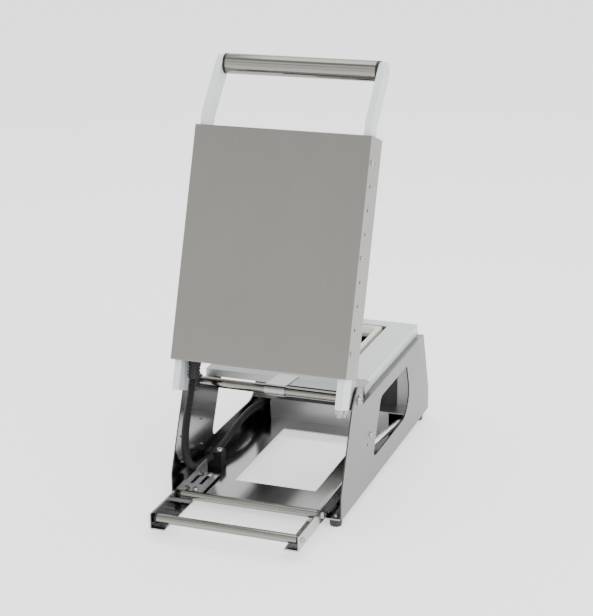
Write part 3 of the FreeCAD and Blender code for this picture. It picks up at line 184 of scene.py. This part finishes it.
def two_sided(material, inner, inner_rough, edge):
    """Gives a side panel's inner face its own gloss and a lighter colour than the outer face, which is painted
    light set for the shaded inside, and makes its cut edges dark.
    """
    nodes, links = material.node_tree.nodes, material.node_tree.links
    shader = nodes["Principled BSDF"]
    where = nodes.new("ShaderNodeTexCoord")
    place, facing = nodes.new("ShaderNodeSeparateXYZ"), nodes.new("ShaderNodeSeparateXYZ")
    links.new(where.outputs["Object"], place.inputs["Vector"])
    links.new(where.outputs["Normal"], facing.inputs["Vector"])

    def compute(operation, first, second=None):
        node = nodes.new("ShaderNodeMath")
        node.operation = operation
        links.new(first, node.inputs[0])
        if isinstance(second, float):
            node.inputs[1].default_value = second
        elif second is not None:
            links.new(second, node.inputs[1])
        return node.outputs["Value"]

    def mix(share, first, second, kind):
        node = nodes.new("ShaderNodeMix")
        node.data_type = kind
        links.new(share, node.inputs["Factor"])
        socket_type = {"RGBA": "RGBA", "FLOAT": "VALUE"}[kind]
        a, b = (i for i in node.inputs if i.name in ("A", "B") and i.type == socket_type)
        links.new(first, a)
        b.default_value = second
        return next(o for o in node.outputs if o.type == a.type)

    inside = compute("LESS_THAN", compute("MULTIPLY", place.outputs["X"], facing.outputs["X"]), 0.0)
    in_sheet = compute("GREATER_THAN", compute("ABSOLUTE", place.outputs["X"]), INNER_FACE)
    not_top = compute("LESS_THAN", facing.outputs["Z"], EDGE_UP)
    on_edge = compute("LESS_THAN", compute("ABSOLUTE", facing.outputs["X"]), EDGE_FACING)
    cut = compute("MULTIPLY", on_edge, compute("MULTIPLY", in_sheet, not_top))
    colour = shader.inputs["Base Color"].links[0].from_socket
    rough = shader.inputs["Roughness"].links[0].from_socket
    # the inner colour mixed in here is painted light: a lighter tone standing in for the light the shaded inside
    # lacks
    colour = mix(cut, mix(inside, colour, (*inner, 1), "RGBA"), (*edge, 1), "RGBA")
    links.new(colour, shader.inputs["Base Color"])
    links.new(mix(inside, rough, inner_rough, "FLOAT"), shader.inputs["Roughness"])


# Each line: name, colour, roughness and grain, how far colour and roughness vary, and the relief's strength.
metal("stainless_panel", (0.28, 0.28, 0.282), 0.32, BRUSHED_ALONG_Y, 0.05, 0.05, 0.02)
metal("side_sheet", (0.175, 0.175, 0.178), 0.36, BRUSHED_ALONG_Y, 0.04, 0.04, 0.005)
# inner is painted light, a tone set for the panels' shaded inside rather than a different finish of the sheet
two_sided(LOOKS["side_sheet"], inner=(0.33, 0.33, 0.335), inner_rough=0.15, edge=(0.075, 0.068, 0.05))
metal("polished_sheet", (0.36, 0.36, 0.365), 0.14, BRUSHED_ALONG_Y, 0.05, 0.05, 0.006)
metal("stainless_cover", (0.210, 0.203, 0.187), 0.30, BRUSHED_ALONG_HEAD, 0.06, 0.03, 0.01)
metal("polished_steel", (0.23, 0.223, 0.203), 0.11, TURNED, 0.04, 0.04, 0.05)
metal("fastener_steel", (0.36, 0.36, 0.355), 0.26, (400, 400, 400), 0.10, 0.08, 0.15)
metal("spring_steel", (0.78, 0.78, 0.77), 0.20, (300, 300, 300), 0.08, 0.06, 0.10)
plain("white_paint", (0.62, 0.65, 0.665), 0.32, 260, 0.02, 0.05, 0.08)
plain("deck_white", (0.60, 0.625, 0.63), 0.36, 300, 0.025, 0.06, 0.10)
plain("die_cream", (0.80, 0.78, 0.68), 0.45, 220, 0.04, 0.06, 0.10)
metal("carrier_grey", (0.46, 0.47, 0.46), 0.42, BRUSHED_ALONG_X, 0.06, 0.08, 0.15)
metal("bar_aluminium", (0.34, 0.35, 0.35), 0.36, BRUSHED_ALONG_X, 0.06, 0.08, 0.15)
metal("plate_aluminium", (0.66, 0.66, 0.65), 0.35, BRUSHED_ALONG_X, 0.06, 0.08, 0.15)
metal("grey_wall", (0.42, 0.42, 0.42), 0.36, BRUSHED_ALONG_X, 0.04, 0.05, 0.02)
plain("black_shield", (0.02, 0.02, 0.02), 0.55, 300, 0.2, 0.08, 0.2)
plain("rubber_black", (0.018, 0.018, 0.018), 0.62, 500, 0.25, 0.10, 0.3)
plain("plastic_black", (0.010, 0.010, 0.010), 0.45, 600, 0.2, 0.08, 0.2, Specular_IOR_Level=0.3)
plain("seal_rubber", (0.72, 0.70, 0.60), 0.55, 400, 0.05, 0.08, 0.2)
plain("mat_red", (0.42, 0.08, 0.05), 0.55, 350, 0.1, 0.08, 0.3)
plain("board_grey", (0.62, 0.60, 0.53), 0.75, 180, 0.12, 0.1, 0.4)
plain("terminal_white", (0.78, 0.77, 0.72), 0.5, 300, 0.04, 0.08, 0.15)
metal("label_metal", (0.70, 0.70, 0.69), 0.36, BRUSHED_ALONG_Y, 0.05, 0.06, 0.1)
plain("lamp_amber", (0.80, 0.26, 0.04), 0.18, 200, 0.06, 0.05, 0.05, Transmission_Weight=0.35)
metal("brass_pins", (0.70, 0.52, 0.24), 0.28, (300, 300, 300), 0.08, 0.06, 0.1)


def dress(item, look):
    """Gives a piece the finish of one of the record's slots."""
    item.data.materials.clear()
    item.data.materials.append(LOOKS[look])
    return item


for entry in frame["record"]["subparts"]:
    dress(frame["nodes"][entry["node"]], entry["material_slot"])


# ---- meshes ----------------------------------------------------------------------------------------------

def mesh_piece(name, points, faces, look, smooth=True):
    """A mesh object from its points and faces."""
    mesh = bpy.data.meshes.new(name)
    mesh.from_pydata([tuple(p) for p in points], [], faces)
    mesh.validate()
    working = bmesh.new()
    working.from_mesh(mesh)
    bmesh.ops.recalc_face_normals(working, faces=working.faces)
    working.to_mesh(mesh)
    working.free()
    for face in mesh.polygons:
        face.use_smooth = smooth
    item = bpy.data.objects.new(name, mesh)
    bpy.context.scene.collection.objects.link(item)
    return dress(item, look)


def swept(path, radii, sides, points, faces):
    """Adds a tube with a radius at each point of a path to a list of points and faces."""
    first, normal = len(points), None
    for i, spot in enumerate(path):
        along = (path[min(i + 1, len(path) - 1)] - path[max(i - 1, 0)]).normalized()
        if normal is None:
            normal = along.orthogonal().normalized()
        normal = (normal - along * normal.dot(along)).normalized()
        across = along.cross(normal)
        for k in range(sides):
            angle = 2 * math.pi * k / sides
            points.append(spot + (normal * math.cos(angle) + across * math.sin(angle)) * radii[i])
    for i in range(len(path) - 1):
        for k in range(sides):
            a, b = first + i * sides + k, first + i * sides + (k + 1) % sides
            faces.append((a, b, b + sides, a + sides))
    faces.append(tuple(range(first, first + sides)))
    faces.append(tuple(range(first + (len(path) - 1) * sides, first + len(path) * sides)))


def smooth_line(control):
    """The points of a smooth curve that a route's control points guide."""
    curve = bpy.data.curves.new("route", "CURVE")
    curve.dimensions = "3D"
    curve.resolution_u = 24
    spline = curve.splines.new("NURBS")
    spline.points.add(len(control) - 1)
    for point, spot in zip(spline.points, control):
        point.co = (*spot, 1)
    spline.order_u = 3
    spline.use_endpoint_u = True
    holder = bpy.data.objects.new("route", curve)
    line = bpy.data.meshes.new_from_object(holder)
    found = [v.co.copy() for v in line.vertices]
    bpy.data.objects.remove(holder)
    bpy.data.meshes.remove(line)
    bpy.data.curves.remove(curve)
    return found


def resampled(line, step):
    """The same line as points at equal steps."""
    result, carried = [line[0].copy()], 0.0
    for a, b in zip(line, line[1:]):
        span = (b - a).length
        while carried + span >= step:
            a = a + (b - a) * ((step - carried) / (b - a).length)
            span = (b - a).length
            carried = 0.0
            result.append(a.copy())
        carried += span
    result.append(line[-1].copy())
    return result


def coil(points, faces, low, high, radius, wire, turns, sides=8, steps=16):
    """Adds a helical wire between two points."""
    axis = (high - low).normalized()
    side = axis.orthogonal().normalized()
    other = axis.cross(side)
    count = int(turns * steps)
    path = []
    for i in range(count + 1):
        angle = 2 * math.pi * i / steps
        around = (side * math.cos(angle) + other * math.sin(angle)) * radius
        path.append(low + (high - low) * (i / count) + around)
    swept(path, [wire] * len(path), sides, points, faces)


def conduit():
    """The corrugated conduit, with a rib every few millimetres."""
    pitch, steps, sides = 0.0031, 8, 20
    middle, rib = 0.0049, 0.0011
    control = [on_head(105, 4, 50), at(106.5, 21.5, 145), at(112, 18, 112), at(116, 20, 78), at(117, 28, 46),
               at(117, 50, 27), at(117, 80, 20), at(115.7, 114.2, 18)]
    path = resampled(smooth_line(control), pitch / steps)
    radii = [middle + rib * math.cos(2 * math.pi * i / steps) for i in range(len(path))]
    points, faces = [], []
    swept(path, radii, sides, points, faces)
    item = mesh_piece("conduit_ribbed", points, faces, "plastic_black")
    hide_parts("head_conduit")
    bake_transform(item)


def balance_spring():
    """The tension spring of the head's balance, with an eye at each end."""
    coil_radius, coil_wire, turns, coil_sides, coil_steps = 0.0041, 0.00085, 116, 6, 12
    eye_radius, eye_wire, eye_steps, sides = 0.0043, 0.0008, 24, 8
    shank = 0.0045                          # the wire between an eye and the coils
    inset = 0.0085                          # from an eye's centre to the first coil
    rear, front = at(-115.5, 162, 44.3), at(-115.5, 380, 13.7)
    along = (front - rear).normalized()
    square = Vector((0, -along.z, along.y))
    points, faces = [], []
    first, last = rear + along * inset, front - along * inset
    coil(points, faces, first, last, coil_radius, coil_wire, turns, coil_sides, coil_steps)
    for spot, turn in ((rear, 1), (front, -1)):
        ring = []
        for k in range(eye_steps + 1):
            angle = 2 * math.pi * k / eye_steps
            ring.append(spot + (along * math.cos(angle) + square * math.sin(angle)) * eye_radius)
        swept(ring, [eye_wire] * len(ring), sides, points, faces)
        end = spot + along * turn * eye_radius
        swept([end, end + along * turn * shank], [eye_wire, eye_wire], sides, points, faces)
    item = mesh_piece("balance_coils", points, faces, "spring_steel")
    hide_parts("balance_spring")
    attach(item, "base")


def plate_springs():
    """The four springs over the sealing plate."""
    low, high = 20, 49
    radius, wire, turns = 0.0056, 0.0009, 6
    points, faces = [], []
    for x in (-50, 50):
        for far in (150, 292):
            coil(points, faces, on_head(x, far, low), on_head(x, far, high), radius, wire, turns)
    item = mesh_piece("plate_coils", points, faces, "spring_steel")
    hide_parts("plate_springs")
    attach(item, "head")
    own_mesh(item)


def knob():
    """The fluted thermostat knob with its grip rib."""
    outline = [(0.0185, 0.0016), (0.0190, 0.0022), (0.0188, 0.0040), (0.0175, 0.0130), (0.0168, 0.0158),
               (0.0155, 0.0165), (0.0, 0.0165)]
    sides, flute_sides = 144, 4
    flute_depth, flute_low, flute_high = 0.00045, 0.003, 0.014
    points, faces = [], []
    for radius, height in outline:
        for k in range(sides):
            dip = flute_depth * (0.5 + 0.5 * math.cos(2 * math.pi * k / flute_sides))
            flute = dip if flute_low < height < flute_high else 0.0
            angle = 2 * math.pi * k / sides
            points.append(((radius - flute) * math.cos(angle), (radius - flute) * math.sin(angle), height))
    for ring in range(len(outline) - 1):
        for k in range(sides):
            a, b = ring * sides + k, ring * sides + (k + 1) % sides
            faces.append((a, b, b + sides, a + sides))
    faces.append(tuple(range(sides)))
    rib = [(-0.003, 0.0), (-0.003, 0.0185), (-0.0022, 0.0207),
           (0.0022, 0.0207), (0.003, 0.0185), (0.003, 0.0)]
    rib_foot, rib_shoulder, rib_end, rib_taper = 0.0150, 0.0150, 0.0158, 0.85
    corners, base = len(rib), len(points)
    stations = (-rib_end, -rib_shoulder, rib_shoulder, rib_end)
    for y in stations:
        squeeze = rib_taper if abs(y) == rib_end else 1.0
        for x, z in rib:
            rise = max(0.0, z - rib_foot)
            points.append((x * squeeze, y, rib_foot + rise * squeeze))
    for row in range(len(stations) - 1):
        for k in range(corners):
            a, b = base + row * corners + k, base + row * corners + (k + 1) % corners
            faces.append((a, b, b + corners, a + corners))
    last = base + (len(stations) - 1) * corners
    faces += [tuple(range(base, base + corners)), tuple(range(last, last + corners))]
    item = mesh_piece("knob_fluted", points, faces, "plastic_black", smooth=False)
    item.data.transform(on_slope(DIAL_ACROSS, DIAL_HEIGHT))
    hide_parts("thermostat_knob")
    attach(item, "knob")


def dial_ticks():
    """The dial's ticks on the face around the knob."""
    count, first_angle, step = 11, -135, 27
    inner, outer, half, thick = 0.0215, 0.0245, 0.00045, 0.0003
    corners = ((inner, -1), (inner, 1), (outer, 1), (outer, -1))
    block = ((0, 1, 2, 3), (4, 5, 6, 7), (0, 1, 5, 4), (1, 2, 6, 5), (2, 3, 7, 6), (3, 0, 4, 7))
    points, faces = [], []
    for k in range(count):
        angle = math.radians(first_angle + step * k)
        out = Vector((math.sin(angle), math.cos(angle), 0))
        across = Vector((math.cos(angle), -math.sin(angle), 0))
        first = len(points)
        for height in (0.0, thick):
            for radius, side in corners:
                points.append(out * radius + across * (side * half) + Vector((0, 0, height)))
        faces += [tuple(first + corner for corner in face) for face in block]
    ticks = mesh_piece("dial_ticks", points, faces, "plastic_black", smooth=False)
    ticks.data.transform(on_slope(DIAL_ACROSS, DIAL_HEIGHT))
    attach(ticks, "base")


conduit()
balance_spring()
plate_springs()
knob()
dial_ticks()


# ---- stage -----------------------------------------------------------------------------------------------

def floor():
    """A plain pale floor."""
    reach = 9
    mesh = bpy.data.meshes.new("floor")
    corners = [(-reach, -reach, 0), (reach, -reach, 0), (reach, reach, 0), (-reach, reach, 0)]
    mesh.from_pydata(corners, [], [(0, 1, 2, 3)])
    item = bpy.data.objects.new("floor", mesh)
    bpy.context.scene.collection.objects.link(item)
    paint = bpy.data.materials.new("floor")
    paint.use_nodes = True
    sockets = paint.node_tree.nodes["Principled BSDF"].inputs
    sockets["Base Color"].default_value = (0.93, 0.93, 0.93, 1)
    sockets["Roughness"].default_value = 0.7
    sockets["Emission Color"].default_value = (1, 1, 1, 1)
    sockets["Emission Strength"].default_value = 0.8
    mesh.materials.append(paint)


def studio():
    """Light from all round, in level bands, so that brushed metal shows light and dark."""
    strength = 2.0
    # the height and brightness of each band
    bands = ((0.0, 0.85), (0.28, 1.0), (0.42, 0.85), (0.50, 0.25),
             (0.56, 0.9), (0.72, 1.0), (0.80, 0.30), (1.0, 0.6))
    world = bpy.data.worlds.new("studio")
    world.use_nodes = True
    nodes, links = world.node_tree.nodes, world.node_tree.links
    where = nodes.new("ShaderNodeTexCoord")
    split = nodes.new("ShaderNodeSeparateXYZ")
    ramp = nodes.new("ShaderNodeValToRGB")
    links.new(where.outputs["Generated"], split.inputs["Vector"])
    links.new(split.outputs["Z"], ramp.inputs["Fac"])
    links.new(ramp.outputs["Color"], nodes["Background"].inputs["Color"])
    nodes["Background"].inputs["Strength"].default_value = strength
    stops = ramp.color_ramp.elements
    for height, level in bands:
        stop = stops[0] if height == 0 else stops[-1] if height == 1 else stops.new(height)
        stop.color = (level, level, level, 1)
    bpy.context.scene.world = world


def lamps():
    """Three soft lamps: name, place, aim, size and power."""
    for name, spot, aim, size, power in (
        ("key", (-1.4, 1.6, 2.4), (0, 0, 0.25), 1.6, 30),
        ("fill", (-2.2, 1.4, 1.5), (0, 0, 0.2), 1.5, 8),
        ("top", (0.0, -0.6, 2.6), (0, 0, 0.1), 1.8, 26),
    ):
        light = bpy.data.lights.new(name, "AREA")
        light.size = size
        light.energy = power
        lamp = bpy.data.objects.new(name, light)
        lamp.location = spot
        lamp.rotation_euler = (Vector(aim) - Vector(spot)).to_track_quat("-Z", "Y").to_euler()
        bpy.context.scene.collection.objects.link(lamp)


def camera():
    """The camera, behind the machine, to its left and above."""
    turn, tilt, roll = math.radians(19.85), math.radians(17.934), math.radians(-0.349)
    across, behind, height = -0.7747, 1.966, 0.997
    lens = bpy.data.cameras.new("camera")
    lens.sensor_fit = "VERTICAL"
    lens.sensor_height = 36
    lens.lens = 94.4
    eye = bpy.data.objects.new("camera", lens)
    ahead = Vector((math.sin(turn) * math.cos(tilt), -math.cos(turn) * math.cos(tilt), -math.sin(tilt)))
    eye.rotation_mode = "QUATERNION"
    eye.rotation_quaternion = ahead.to_track_quat("-Z", "Y") @ Matrix.Rotation(roll, 4, "Z").to_quaternion()
    eye.location = (across, BACK + behind, height)
    bpy.context.scene.collection.objects.link(eye)
    bpy.context.scene.camera = eye


floor()
studio()
lamps()
camera()
